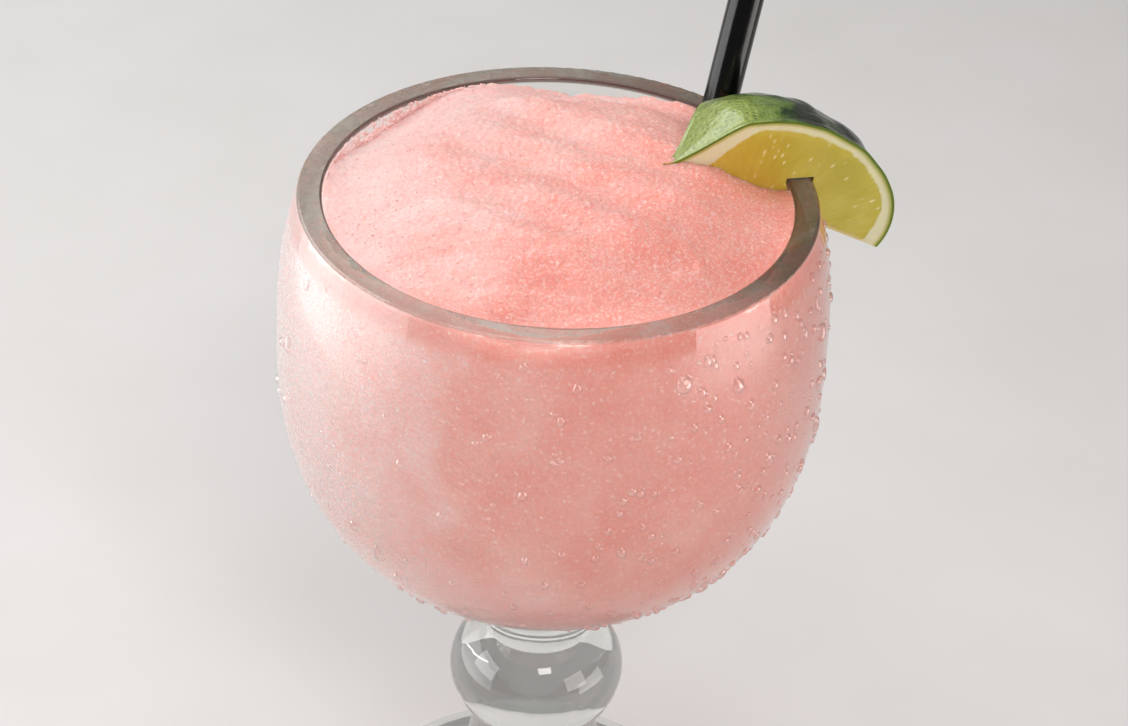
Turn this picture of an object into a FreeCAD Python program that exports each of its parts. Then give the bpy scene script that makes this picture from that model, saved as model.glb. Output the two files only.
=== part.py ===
"""Frozen drink in a footed schooner glass, with a drinking straw and a lime wedge on the rim.

Millimetres. +Z is up, the origin is the middle of the foot's underside and the glass turns about Z.
The lime hangs over the rim on the +X side and the straw leans into the +X +Y quarter.
"""
import FreeCAD
import Part
import math
import os

# The glass: a round bowl on a knop and a bell foot.
glass_height = 171.0
bowl_r = 55.5
bowl_widest_z = 135.5
bowl_lower_depth = 55.4
bowl_lower_power = 2.31
bowl_blend_z = 87.0
rim_r = 51.2
rim_power = 2.9
rim_outer_round = 0.8
rim_inner_round = 0.7
wall = 4.9
wall_at_rim = 5.1
bowl_floor_z = 86.0
inner_lower_power = 2.3
inner_rim_power = 2.6

upper_neck_r = 11.8
knop_r = 18.8
knop_half_height = 15.6
knop_z = 51.5
lower_neck_r = 13.4
foot_r = 41.0
foot_edge = 4.4

# The frozen drink, heaped above the rim in the middle.
heap_height = 6.6
wall_level = 2.4
wall_swing = 1.9
wall_high_angle = 116.0
heap_shoulder = 0.50
fold_height = 0.7
fold_pitch = 17.0

# The straw: it stands on the bowl's floor and leans on the rim just behind the lime.
straw_d = 7.1
straw_wall = 0.25
straw_length = 197.0
straw_lime_gap = 1.35
straw_rim_gap = 0.45
straw_foot_x = 16.1
straw_foot_y = 8.0
straw_foot_gap = 2.0

# The lime wedge: part of a pointed oval body, cut at its core, hung on the rim by a slit.
lime_length = 56.8
lime_r = 22.6
lime_widest = 0.46
lime_oval_power = 1.9
lime_point = 9.6
lime_tip_blunt = 1.2
lime_wedge_angle = 68.0
lime_direction = 21.3
lime_droop = 29.7
lime_face_lean = 16.3
lime_slit_along = 28.1
lime_slit_depth = 8.9
lime_slit_angle = 12.8
slit_gap = 0.25

Z = FreeCAD.Vector(0, 0, 1)
ORIGIN = FreeCAD.Vector(0, 0, 0)
rim_inner_r = rim_r - wall_at_rim


def point(r, z):
    """A point of a turned outline, in the XZ plane."""
    return FreeCAD.Vector(r, 0, z)


def line(a, b):
    return Part.LineSegment(point(*a), point(*b)).toShape()


def arc(a, middle, b):
    return Part.Arc(point(*a), point(*middle), point(*b)).toShape()


def bezier(*poles):
    curve = Part.BezierCurve()
    curve.setPoles([point(*p) for p in poles])
    return curve.toShape()


def spline(points):
    curve = Part.BSplineCurve()
    curve.interpolate([point(*p) for p in points])
    return curve.toShape()


def turned(edges, angle=360.0):
    face = Part.Face(Part.Wire(edges))
    return face.revolve(ORIGIN, Z, angle)


def steps(low, high, count):
    return [low + (high - low) * i / (count - 1) for i in range(count)]


def bowl_outside(z):
    """The bowl's outer radius at a height."""
    if z < bowl_widest_z:
        drop = (bowl_widest_z - z) / bowl_lower_depth
        return bowl_r * (1 - drop**bowl_lower_power) ** (1 / bowl_lower_power)
    rise = (z - bowl_widest_z) / (glass_height - bowl_widest_z)
    return bowl_r - (bowl_r - rim_r) * rise**rim_power


def bowl_inside(z):
    """The bowl's inner radius at a height."""
    inner_r = bowl_r - wall
    if z < bowl_widest_z:
        drop = min(1.0, (bowl_widest_z - z) / (bowl_widest_z - bowl_floor_z))
        return inner_r * (1 - drop**inner_lower_power) ** (1 / inner_lower_power)
    rise = (z - bowl_widest_z) / (glass_height - bowl_widest_z)
    return inner_r - (inner_r - rim_inner_r) * rise**inner_rim_power


def inside_edge():
    """The inner wall's outline, from the bowl's floor to where the rim's rounding starts."""
    depth = bowl_widest_z - bowl_floor_z
    low = [bowl_widest_z - depth * math.cos(math.radians(a)) for a in steps(0, 90, 19)]
    high = steps(bowl_widest_z, glass_height - rim_inner_round, 9)
    heights = low + high[1:]
    return spline([(bowl_inside(z), z) for z in heights])


def outside_edge():
    """The outer wall's outline, from the blend over the stem to the rim's rounding."""
    heights = steps(bowl_blend_z, bowl_widest_z, 12)
    heights += steps(bowl_widest_z, glass_height - rim_outer_round, 9)[1:]
    return spline([(bowl_outside(z), z) for z in heights])


def glass():
    """The whole glass as one turned solid."""
    edge_r = foot_edge / 2
    ring_r = foot_r - edge_r
    knop_low_z = knop_z - knop_half_height * math.sqrt(1 - (lower_neck_r / knop_r) ** 2)
    knop_high_z = knop_z + knop_half_height * math.sqrt(1 - (upper_neck_r / knop_r) ** 2)
    knop_edge = spline(
        [
            (knop_r * math.cos(t), knop_z + knop_half_height * math.sin(t))
            for t in steps(
                -math.acos(lower_neck_r / knop_r), math.acos(upper_neck_r / knop_r), 15
            )
        ]
    )
    foot_rise = knop_low_z - foot_edge
    foot_top = bezier(
        (ring_r, foot_edge),
        (ring_r - 0.62 * (ring_r - lower_neck_r), foot_edge + 0.10 * foot_rise),
        (lower_neck_r + 0.8, knop_low_z - 0.62 * foot_rise),
        (lower_neck_r, knop_low_z),
    )

    blend_r = bowl_outside(bowl_blend_z)
    slope = (blend_r - bowl_outside(bowl_blend_z - 0.01)) / 0.01
    reach = 6.0
    stem_blend = bezier(
        (upper_neck_r, knop_high_z),
        (upper_neck_r, knop_high_z + 9.0),
        (blend_r - slope * reach, bowl_blend_z - reach),
        (blend_r, bowl_blend_z),
    )

    low_out = glass_height - rim_outer_round
    low_in = glass_height - rim_inner_round
    out_r = bowl_outside(low_out)
    in_r = bowl_inside(low_in)
    diagonal = 1 - math.sqrt(0.5)
    rim_out = arc(
        (out_r, low_out),
        (out_r - diagonal * rim_outer_round, glass_height - diagonal * rim_outer_round),
        (out_r - rim_outer_round, glass_height),
    )
    rim_in = arc(
        (in_r + rim_inner_round, glass_height),
        (in_r + diagonal * rim_inner_round, glass_height - diagonal * rim_inner_round),
        (in_r, low_in),
    )
    edges = [
        line((0, 0), (ring_r, 0)),
        arc((ring_r, 0), (foot_r, edge_r), (ring_r, foot_edge)),
        foot_top,
        knop_edge,
        stem_blend,
        outside_edge(),
        rim_out,
        line((out_r - rim_outer_round, glass_height), (in_r + rim_inner_round, glass_height)),
        rim_in,
        inside_edge(),
        line((0, bowl_floor_z), (0, 0)),
    ]
    return turned(edges)


def heap_z(x, y):
    """The drink's surface: a heap with soft folds across it, which meets the wall in waves."""
    share = min(1.0, math.hypot(x, y) / rim_inner_r)
    slope = max(0.0, (share - heap_shoulder) / (1 - heap_shoulder))
    crown = 1 - slope * slope * (3 - 2 * slope)
    level = -wall_level + (heap_height + wall_level) * crown
    turn = math.atan2(y, x) - math.radians(wall_high_angle)
    level += wall_swing * share**6 * math.cos(6 * turn)
    swirl = x * 0.35 + y + 5.0 * math.sin(x / 19.0)
    folds = math.sin(2 * math.pi * swirl / fold_pitch) * math.cos((x - 6.0) / 24.0)
    return glass_height + level + fold_height * folds * (1 - share**4)


def under_heap():
    """Everything below the drink's surface, wider than the bowl."""
    half = bowl_r + 5.0
    ticks = steps(-half, half, 25)
    surface = Part.BSplineSurface()
    surface.interpolate([[FreeCAD.Vector(x, y, heap_z(x, y)) for y in ticks] for x in ticks])
    return surface.toShape().extrude(FreeCAD.Vector(0, 0, -glass_height))


def straw_axis(rim_angle):
    """The straw's lower end and its direction, for the angle at which it leans on the rim."""
    touch_r = rim_inner_r - straw_d / 2 - straw_rim_gap
    angle = math.radians(rim_angle)
    touch = FreeCAD.Vector(touch_r * math.cos(angle), touch_r * math.sin(angle), glass_height)
    low = FreeCAD.Vector(straw_foot_x, straw_foot_y, 0)
    foot_far_r = low.Length + straw_d / 2
    depth = bowl_widest_z - bowl_floor_z
    share = foot_far_r / (bowl_r - wall)
    low.z = bowl_widest_z - depth * (1 - share**inner_lower_power) ** (1 / inner_lower_power)
    low.z += straw_foot_gap
    return low, (touch - low).normalize()


def straw_rod(diameter, rim_angle):
    low, direction = straw_axis(rim_angle)
    return Part.makeCylinder(diameter / 2, straw_length, low, direction)


def angle_behind_lime(lime):
    """The rim angle at which the straw clears the lime by its gap, found by halving."""
    near, far = lime_slit_angle, lime_slit_angle + 90.0
    while far - near > 0.01:
        middle = (near + far) / 2
        if straw_rod(straw_d, middle).distToShape(lime)[0] < straw_lime_gap:
            near = middle
        else:
            far = middle
    return far


def straw(rim_angle):
    return straw_rod(straw_d, rim_angle).cut(straw_rod(straw_d - 2 * straw_wall, rim_angle))


def lime_radius(u):
    """The lime's radius at a distance u from its pointed end: an oval that narrows to a nipple."""
    widest = lime_widest * lime_length
    span = widest if u < widest else lime_length - widest
    share = min(1.0, abs(u - widest) / span)
    oval = lime_r * (1 - share**lime_oval_power) ** (1 / lime_oval_power)
    point_share = min(1.0, (u + lime_tip_blunt) / (lime_point + lime_tip_blunt))
    return oval * point_share * point_share * (3 - 2 * point_share)


def lime_place():
    """The wedge's frame: core is along the lime, up runs up the shown face, back points behind it."""
    turn = FreeCAD.Rotation(Z, lime_direction)
    droop = FreeCAD.Rotation(FreeCAD.Vector(0, 1, 0), lime_droop)
    lean = FreeCAD.Rotation(FreeCAD.Vector(1, 0, 0), lime_face_lean)
    rotation = turn.multiply(droop).multiply(lean)
    angle = math.radians(lime_slit_angle)
    middle_r = rim_inner_r + wall_at_rim / 2
    seat = FreeCAD.Vector(middle_r * math.cos(angle), middle_r * math.sin(angle), glass_height)
    seat -= rotation.multVec(FreeCAD.Vector(lime_slit_along, 0, lime_slit_depth))
    return FreeCAD.Placement(seat, rotation)


def lime_whole():
    """The wedge before its slit, in place. Its body is turned about the core from the shown face."""
    spread = [0.5 - 0.5 * math.cos(a) for a in steps(0, math.pi, 27)]
    skin = Part.BSplineCurve()
    skin.interpolate(
        [FreeCAD.Vector(lime_length * s, 0, lime_radius(lime_length * s)) for s in spread]
    )
    core = Part.LineSegment(FreeCAD.Vector(lime_length, 0, 0), ORIGIN).toShape()
    face = Part.Face(Part.Wire([skin.toShape(), core]))
    wedge = face.revolve(ORIGIN, FreeCAD.Vector(1, 0, 0), -lime_wedge_angle)
    wedge.Placement = lime_place()
    return wedge


def rim_room():
    """The rim's wall grown by the slit's gap, which the slit is as wide and as high as."""
    top = glass_height + slit_gap
    low = bowl_widest_z
    heights = steps(low, glass_height, 9)
    outer = [(bowl_outside(z) + slit_gap, z) for z in heights]
    inner = [(bowl_inside(z) - slit_gap, z) for z in heights]
    edges = [
        spline(outer),
        line(outer[-1], (outer[-1][0], top)),
        line((outer[-1][0], top), (inner[-1][0], top)),
        line((inner[-1][0], top), inner[-1]),
        spline(inner),
        line(inner[0], outer[0]),
    ]
    return turned(edges)


def drink(straw_room, lime_room):
    """The frozen drink: the bowl's inside up to the heap's surface, cut round straw and lime."""
    low_in = glass_height - rim_inner_round
    in_r = bowl_inside(low_in)
    top = glass_height + heap_height + 10.0
    edges = [
        inside_edge(),
        line((in_r, low_in), (in_r, top)),
        line((in_r, top), (0, top)),
        line((0, top), (0, bowl_floor_z)),
    ]
    return turned(edges).common(under_heap()).cut(straw_room).cut(lime_room)


def write(node, shape):
    solids = shape.Solids
    largest = max(solids, key=lambda s: s.Volume)
    slivers = [s for s in solids if s.Volume < 0.01 * largest.Volume]
    kept = [s for s in solids if s.Volume >= 0.01 * largest.Volume]
    if len(kept) != 1:
        raise ValueError(f"{node} came apart into {len(kept)} pieces")
    print(node, "volume", round(largest.Volume / 1000, 2), "cm3, slivers left out:", len(slivers))
    largest.exportStep(f"parts/{node}.step")


os.makedirs("parts", exist_ok=True)
lime_body = lime_whole()
straw_angle = angle_behind_lime(lime_body)
print("the straw leans on the rim at", round(straw_angle, 2), "degrees")
write("glass", glass())
write("straw", straw(straw_angle))
write("lime_wedge", lime_body.cut(rim_room()))
write("frozen_drink", drink(straw_rod(straw_d, straw_angle), lime_body))
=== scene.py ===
import math
import random

import bpy
import numpy as np
from mathutils import Matrix, Vector, noise
from mathutils.bvhtree import BVHTree


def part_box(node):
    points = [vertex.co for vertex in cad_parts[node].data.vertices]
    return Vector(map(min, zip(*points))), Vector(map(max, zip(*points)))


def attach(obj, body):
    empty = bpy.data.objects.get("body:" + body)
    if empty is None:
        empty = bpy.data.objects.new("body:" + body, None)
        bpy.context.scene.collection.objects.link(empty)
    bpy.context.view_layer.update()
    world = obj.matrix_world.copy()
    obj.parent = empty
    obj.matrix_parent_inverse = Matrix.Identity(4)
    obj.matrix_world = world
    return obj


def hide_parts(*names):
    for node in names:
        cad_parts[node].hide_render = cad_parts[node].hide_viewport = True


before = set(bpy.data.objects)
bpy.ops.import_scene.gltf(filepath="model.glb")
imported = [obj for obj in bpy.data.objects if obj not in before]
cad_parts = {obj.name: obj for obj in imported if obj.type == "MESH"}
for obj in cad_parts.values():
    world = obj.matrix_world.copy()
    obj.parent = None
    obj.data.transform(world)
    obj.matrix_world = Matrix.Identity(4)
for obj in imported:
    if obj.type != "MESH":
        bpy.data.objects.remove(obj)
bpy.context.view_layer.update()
mm = 0.001
scene = bpy.context.scene
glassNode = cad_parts["glass"]
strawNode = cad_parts["straw"]
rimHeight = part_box("glass")[1].z
print("frame loaded, rim at", round(rimHeight / mm, 1), "mm")


def linear(hexColour):
    # sRGB hex to the linear values that the shaders work in
    channels = [int(hexColour[i:i + 2], 16) / 255 for i in (1, 3, 5)]
    return [c / 12.92 if c <= 0.04045 else ((c + 0.055) / 1.055) ** 2.4 for c in channels] + [1.0]


def addNode(material, kind, settings=None, links=None):
    # settings hold the node's options, its inputs' values and a ramp's stops, as (position, hex colour);
    # links hold what feeds its inputs: a node, for its first output, or (node, output's name)
    node = material.node_tree.nodes.new("ShaderNode" + kind)
    for name, value in (settings or {}).items():
        if name == "stops":
            elements = node.color_ramp.elements
            while len(elements) < len(value):
                elements.new(0.5)
            for element, (position, hexColour) in zip(elements, value):
                element.position = position
                element.color = linear(hexColour)
        elif isinstance(name, int) or name in node.inputs:
            node.inputs[name].default_value = value
        else:
            setattr(node, name, value)
    for name, source in (links or {}).items():
        output = source[0].outputs[source[1]] if isinstance(source, tuple) else source.outputs[0]
        material.node_tree.links.new(output, node.inputs[name])
    return node


def newMaterial(name):
    # the second value is the piece's own coordinates, which the patterns are laid out in
    material = bpy.data.materials.new(name)
    material.use_nodes = True
    material.node_tree.nodes.clear()
    return material, (addNode(material, "TexCoord"), "Object")


def meshPiece(name, points, faces, material, smooth=True):
    mesh = bpy.data.meshes.new(name)
    mesh.from_pydata([tuple(p) for p in points], [], [tuple(f) for f in faces])
    mesh.validate()
    mesh.polygons.foreach_set("use_smooth", [smooth] * len(mesh.polygons))
    piece = bpy.data.objects.new(name, mesh)
    scene.collection.objects.link(piece)
    piece.data.materials.append(material)
    return piece


def gridFaces(rows, columns, first=0, closed=False):
    # quads over a grid of points laid out row by row; closed joins the last column to the first
    faces = []
    for i in range(rows - 1):
        for j in range(columns if closed else columns - 1):
            k = (j + 1) % columns
            low = first + i * columns
            faces.append((low + j, low + k, low + columns + k, low + columns + j))
    return faces


def smoothStep(share):
    share = min(1.0, max(0.0, share))
    return share * share * (3 - 2 * share)


def ripple(*where):
    # smooth noise between about -1 and 1
    return noise.noise(Vector(where))


glassTree = BVHTree.FromObject(glassNode, bpy.context.evaluated_depsgraph_get())


view = {
    "place": (0.0, -511.3, 485.0),  # mm
    "target": (2.7, 0.0, 130.9),
    "roll": 2.94,  # degrees, so the glass leans a little to the right
    "lens": 97.5,
    "sensor": 36.0,
}
camera = bpy.data.objects.new("camera", bpy.data.cameras.new("camera"))
scene.collection.objects.link(camera)
cameraPlace = Vector(view["place"]) * mm
lookAlong = (Vector(view["target"]) * mm - cameraPlace).to_track_quat("-Z", "Y").to_matrix().to_4x4()
roll = Matrix.Rotation(math.radians(view["roll"]), 4, "Z")
camera.matrix_world = Matrix.Translation(cameraPlace) @ lookAlong @ roll
camera.data.lens = view["lens"]
camera.data.sensor_width = view["sensor"]
camera.data.clip_start = 0.01
camera.data.clip_end = 20.0
scene.camera = camera
print("camera placed")


glass = {
    "tint": "#FBFFFD",
    "ior": 1.51,
    "roughness": 0.015,
    "waveSize": 26.0,  # mm between the soft waves a mould leaves
    "waveHeight": 0.05,
    "fogFrom": 88.0,  # mm, the height range that the cold drink fogs
    "fogTo": 167.0,
    "fogRoughness": 0.42,
    "fogBlur": 0.15,
    "filmStrength": 0.42,  # how milky the film of fog is
    "filmGrain": 0.7,  # mm, coarser than real fog, so that it shows
    "filmPatch": 22.0,
    "edgeFrom": 170.35,  # mm, the rim's top above this is slightly frosted
    # painted reflection: the frosted rim's grey stands in for grey surroundings mirrored in it
    "edgePaintedReflection": "#9D9E93",
    "edgePaintedShade": "#565245",  # painted shade, darker on the right
    # painted light: the rim's front is paler and pinker
    "edgeFrontPaintedLight": "#F6E4DE",
    "frontFrom": -49.0,  # mm, from here back to frontTo the frost thickens
    "frontTo": -26.0,
    "edgeFrostLeast": 0.28,
    "edgeFrostMost": 0.72,
    "edgePatch": 11.0,  # mm
    "lipRadius": 46.95,  # mm, where the rim rounds over to the inside
    "lipHeight": 169.6,
    # painted shade: the thin dark line at the inner lip
    "lipPaintedShade": "#4E423C",
    "shadowTint": "#FCFCFC",
}


def clearToLamps(material, body, tint):
    # shadow rays and diffuse rays pass straight through, so that lamps reach what is inside or behind
    clear = addNode(material, "BsdfTransparent", {"Color": linear(tint)})
    path = addNode(material, "LightPath")
    soft = addNode(material, "Math", {"operation": "MAXIMUM"},
                   {0: (path, "Is Shadow Ray"), 1: (path, "Is Diffuse Ray")})
    mix = addNode(material, "MixShader", links={0: soft, 1: body, 2: clear})
    addNode(material, "OutputMaterial", links={"Surface": mix})


def pressedSodaLimeGlass():
    # Soda-lime glass, pressed and fire-polished: clear, with soft waves that bend what shows through.
    # The cold bowl is fogged, which spreads each reflection into a soft patch; the rim is faintly frosted,
    # and its grey band is a painted reflection, darker on the right by painted shade and paler at the front
    # by painted light.
    # Lamps reach what is inside unbent, as through a thin wall.
    material, place = newMaterial("pressedSodaLimeGlass")
    split = addNode(material, "SeparateXYZ", links={"Vector": place})
    across, depth, height = ((split, axis) for axis in "XYZ")
    wave = addNode(material, "TexNoise", {"Scale": 1 / (glass["waveSize"] * mm), "Detail": 1.0},
                   {"Vector": place})
    bump = addNode(material, "Bump", {"Distance": glass["waveHeight"] * mm}, {"Height": wave})
    low = addNode(material, "MapRange", {
        "From Min": glass["fogFrom"] * mm,
        "From Max": (glass["fogFrom"] + 4) * mm,
    }, {"Value": height})
    high = addNode(material, "MapRange", {
        "From Min": glass["fogTo"] * mm,
        "From Max": (glass["fogTo"] - 2) * mm,
    }, {"Value": height})
    fog = addNode(material, "Math", {"operation": "MULTIPLY"}, {0: low, 1: high})
    sharp = addNode(material, "MapRange", {"To Min": 0.96, "To Max": 0.05}, {"Value": fog})
    blurred = addNode(material, "MapRange", {
        "To Min": glass["roughness"],
        "To Max": glass["fogBlur"],
    }, {"Value": fog})
    # the fog is a film of specks too small to model; it is thickest on the left and low down
    film = addNode(material, "TexNoise", {
        "Scale": 1 / (glass["filmGrain"] * mm),
        "Detail": 3.0,
        "Roughness": 0.65,
    }, {"Vector": place})
    drift = addNode(material, "TexNoise", {"Scale": 1 / (glass["filmPatch"] * mm)}, {"Vector": place})
    leftward = addNode(material, "MapRange", {"From Min": 0.01, "From Max": -0.05, "To Min": 0.12},
                       {"Value": across})
    filmSpecks = addNode(material, "MapRange", {"From Min": 0.46, "From Max": 0.72, "To Min": 0.25},
                         {"Value": film})
    filmPatches = addNode(material, "MapRange", {"From Min": 0.3, "From Max": 0.65, "To Min": 0.6},
                          {"Value": drift})
    filmed = fog
    for part in (leftward, filmSpecks, filmPatches):
        filmed = addNode(material, "Math", {"operation": "MULTIPLY"}, {0: filmed, 1: part})
    filmWeight = addNode(material, "Math", {"operation": "MULTIPLY", 1: glass["filmStrength"]},
                         {0: filmed})
    edge = addNode(material, "MapRange", {
        "From Min": glass["edgeFrom"] * mm,
        "From Max": (glass["edgeFrom"] + 0.4) * mm,
    }, {"Value": height})
    patch = addNode(material, "TexNoise", {
        "Scale": 1 / (glass["edgePatch"] * mm),
        "Detail": 3.0,
        "Roughness": 0.6,
    }, {"Vector": place})
    clouded = addNode(material, "MapRange", {
        "From Min": 0.41,
        "From Max": 0.6,
        "To Min": glass["edgeFrostLeast"],
        "To Max": glass["edgeFrostMost"],
    }, {"Value": patch})
    front = addNode(material, "MapRange", {
        "From Min": glass["frontFrom"] * mm,
        "From Max": glass["frontTo"] * mm,
        "To Min": 0.6,
    }, {"Value": depth})
    cloudedEdge = addNode(material, "Math", {"operation": "MULTIPLY"}, {0: front, 1: clouded})
    frosted = addNode(material, "Math", {"operation": "MULTIPLY"}, {0: edge, 1: cloudedEdge})
    veil = addNode(material, "Math", {"operation": "ADD"}, {0: frosted, 1: filmWeight})
    frost = addNode(material, "Math", {"operation": "SUBTRACT", 0: 1.0}, {1: veil})
    # painted shade darkens the rim's band towards the right, and painted light makes its front paler
    side = addNode(material, "MapRange", {"From Min": -0.01, "From Max": 0.045}, {"Value": across})
    tint = addNode(material, "MixRGB", {
        "Color1": linear(glass["edgePaintedReflection"]),
        "Color2": linear(glass["edgePaintedShade"]),
    }, {"Fac": side})
    for colour, share in (("edgeFrontPaintedLight", front), ("tint", edge)):
        tint = addNode(material, "MixRGB", {"Color1": linear(glass[colour])}, {"Fac": share, "Color2": tint})
    # painted shade: a thin darker line where the rim rounds over to the inside
    flat = addNode(material, "VectorMath", {"operation": "MULTIPLY", 1: (1.0, 1.0, 0.0)}, {0: place})
    radius = addNode(material, "VectorMath", {"operation": "LENGTH"}, {0: flat})
    inside = addNode(material, "MapRange", {
        "From Min": glass["lipRadius"] * mm,
        "From Max": (glass["lipRadius"] - 0.2) * mm,
    }, {"Value": (radius, "Value")})
    lipTop = addNode(material, "MapRange", {
        "From Min": glass["lipHeight"] * mm,
        "From Max": (glass["lipHeight"] + 0.4) * mm,
    }, {"Value": height})
    lip = addNode(material, "Math", {"operation": "MULTIPLY"}, {0: inside, 1: lipTop})
    tint = addNode(material, "MixRGB", {"Color2": linear(glass["lipPaintedShade"])}, {"Fac": lip, "Color1": tint})
    body = addNode(material, "BsdfPrincipled", {
        "IOR": glass["ior"],
        "Coat Roughness": glass["fogRoughness"],
        "Coat IOR": 1.6,
    }, {
        "Base Color": tint,
        "Roughness": blurred,
        "Transmission Weight": frost,
        "Specular Tint": sharp,
        "Coat Weight": fog,
        "Normal": bump,
    })
    clearToLamps(material, body, glass["shadowTint"])
    return material


glassNode.data.materials.clear()
glassNode.data.materials.append(pressedSodaLimeGlass())
glassNode.data.polygons.foreach_set("use_smooth", [True] * len(glassNode.data.polygons))
print("glass finished")


drink = {
    "innerRimRadius": 46.1,  # mm
    "heapHeight": 6.6,
    "wallLevel": 2.4,
    "wallSwing": 1.9,
    "wallHighAngle": 116.0,  # degrees
    "shoulder": 0.5,
    "foldHeight": 0.7,
    "foldPitch": 17.0,
    "smearHeight": 0.5,  # long soft ridges that the ladle leaves
    "smearLength": 19.0,
    "smearWidth": 2.9,
    "lumpHeight": 0.32,
    "lumpSize": 6.5,
    "grainHeight": 0.22,
    "grainPitch": 1.15,
    # clumps that stand out: x, y, half width and rise in mm
    "clumps": [
        (27, -26, 2.3, 1.1), (23.5, -29, 1.5, 0.6), (31, -21, 1.7, 0.6),
        (-4, 22, 2.6, 0.5), (12, 4, 3.2, 0.4), (-31, -3, 2.2, 0.5),
        (-15, -31, 2.0, 0.4), (5, -15, 2.4, 0.4), (-27, 24, 2.0, 0.7),
    ],
    "raggedness": 1.0,  # how uneven the line is where it clings to the wall
    "wallOverlap": 0.15,  # how far it reaches into the glass, so that no air gap shows
    "middleHeight": 135.5,  # where the bowl is widest
    "rayStep": 0.92,  # degrees between the rays that find the wall
    "rays": 140,
    "segments": 440,
    "rings": 170,
    "sideRows": 40,
    "syrup": [(0.30, "#EEA196"), (0.46, "#F1ACA2"), (0.60, "#F3B6AD"), (0.74, "#F5C1B9")],
    "syrupPatch": 13.0,  # mm
    "streakWidth": 4.0,
    "paintedLitSide": "#ECC9C6",  # painted light: paler and cooler towards the left and back, where the lamps fall
    "deep": "#E98573",  # painted shade: deeper towards the right front, away from the lamps
    "grain": "#FBE2DD",
    "grainSize": 0.55,  # mm
    "speck": "#FFEDE9",
    "speckPitch": 1.1,  # mm
    "speckStrength": 0.55,
    "ior": 1.31,  # ice
    "softness": 3.8,  # mm that light spreads inside it
}


def heapHeight(x, y):
    # the heap's plain form in mm, the same as the solid's: soft folds across it, waves along the wall
    share = min(1.0, math.hypot(x, y) / drink["innerRimRadius"])
    crown = 1 - smoothStep((share - drink["shoulder"]) / (1 - drink["shoulder"]))
    level = -drink["wallLevel"] + (drink["heapHeight"] + drink["wallLevel"]) * crown
    turn = math.atan2(y, x) - math.radians(drink["wallHighAngle"])
    level += drink["wallSwing"] * share**6 * math.cos(6 * turn)
    swirl = x * 0.35 + y + 5.0 * math.sin(x / 19.0)
    folds = math.sin(2 * math.pi * swirl / drink["foldPitch"]) * math.cos((x - 6.0) / 24.0)
    return rimHeight / mm + level + drink["foldHeight"] * folds * (1 - share**4)


def drinkHeight(x, y):
    # heap plus smears, lumps and grains; all of it fades out a little where it clings to the wall
    share = math.hypot(x, y) / drink["innerRimRadius"]
    bend = 6.0 * ripple(x / 30, y / 30, 9.1)
    smear = ripple(x / drink["smearLength"], (y + bend) / drink["smearWidth"], 2.3)
    lumps = ripple(x / drink["lumpSize"], y / drink["lumpSize"], 5.7) + 0.5 * ripple(x / 2.6, y / 2.6, 1.1)
    cell = noise.voronoi(Vector((x / drink["grainPitch"], y / drink["grainPitch"], 0.4)))[0][0]
    calm = 1 - 0.45 * smoothStep((share - 0.85) / 0.15)
    detail = drink["smearHeight"] * smear + drink["lumpHeight"] * lumps
    detail += drink["grainHeight"] * (0.6 - cell) * 2
    clumps = 0.0
    for clumpX, clumpY, width, rise in drink["clumps"]:
        away = ((x - clumpX) ** 2 + (y - clumpY) ** 2) / width**2
        if away < 9:
            clumps += rise * math.exp(-away) * (1 + 0.5 * ripple(x / 1.4, y / 1.4, 7.7))
    return heapHeight(x, y) + detail * calm + clumps


def innerWall():
    # the glass's inner outline, found by rays from the bowl's middle: elevation, radius, height in mm
    middle = Vector((0, 0, drink["middleHeight"] * mm))
    rows = []
    for step in range(drink["rays"]):
        elevation = math.radians(-90 + step * drink["rayStep"])
        ray = Vector((math.cos(elevation), 0.0002, math.sin(elevation)))  # a hair beside the mesh's seam
        hit = glassTree.ray_cast(middle, ray)[0]
        if hit is None or hit.z > rimHeight - 0.3 * mm:
            break
        rows.append((elevation, hit.x / mm, hit.z / mm))
    return np.array(rows)


def drinkTone(material, place):
    # syrupy patches and streaks; painted light makes it paler and cooler to the left and back, painted shade
    # deeper to the right front
    patches = addNode(material, "TexNoise", {
        "Scale": 1 / (drink["syrupPatch"] * mm),
        "Detail": 3.0,
        "Roughness": 0.55,
    }, {"Vector": place})
    stretched = addNode(material, "Mapping", {"Scale": (0.3, 1.0, 1.6)}, {"Vector": place})
    streaks = addNode(material, "TexNoise", {"Scale": 1 / (drink["streakWidth"] * mm)},
                      {"Vector": stretched})
    split = addNode(material, "SeparateXYZ", links={"Vector": place})
    smeared = addNode(material, "MapRange", {
        "From Min": rimHeight - 6 * mm,
        "From Max": rimHeight - 2 * mm,
        "To Min": 0.12,
        "To Max": 0.42,
    }, {"Value": (split, "Z")})
    both = addNode(material, "MixRGB", links={"Fac": smeared, "Color1": patches, "Color2": streaks})
    tone = addNode(material, "ValToRGB", {"stops": drink["syrup"]}, {"Fac": both})
    # painted light towards the left and back, painted shade towards the right front
    sideways = addNode(material, "Math", {"operation": "MULTIPLY", 1: -0.9}, {0: (split, "X")})
    lean = addNode(material, "Math", {"operation": "MULTIPLY_ADD", 1: 0.36},
                   {0: (split, "Y"), 2: sideways})
    drift = addNode(material, "Math", {"operation": "MULTIPLY_ADD", 1: 0.05}, {0: patches, 2: lean})
    paintedLitSide = addNode(material, "MapRange", {"From Min": 0.024, "From Max": 0.068, "To Max": 0.85},
                     {"Value": drift})
    deep = addNode(material, "MapRange", {"From Min": 0.030, "From Max": -0.014, "To Max": 0.5},
                   {"Value": drift})
    for colour, share in (("paintedLitSide", paintedLitSide), ("deep", deep)):
        tone = addNode(material, "MixRGB", {"Color2": linear(drink[colour])}, {"Fac": share, "Color1": tone})
    return tone


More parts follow.
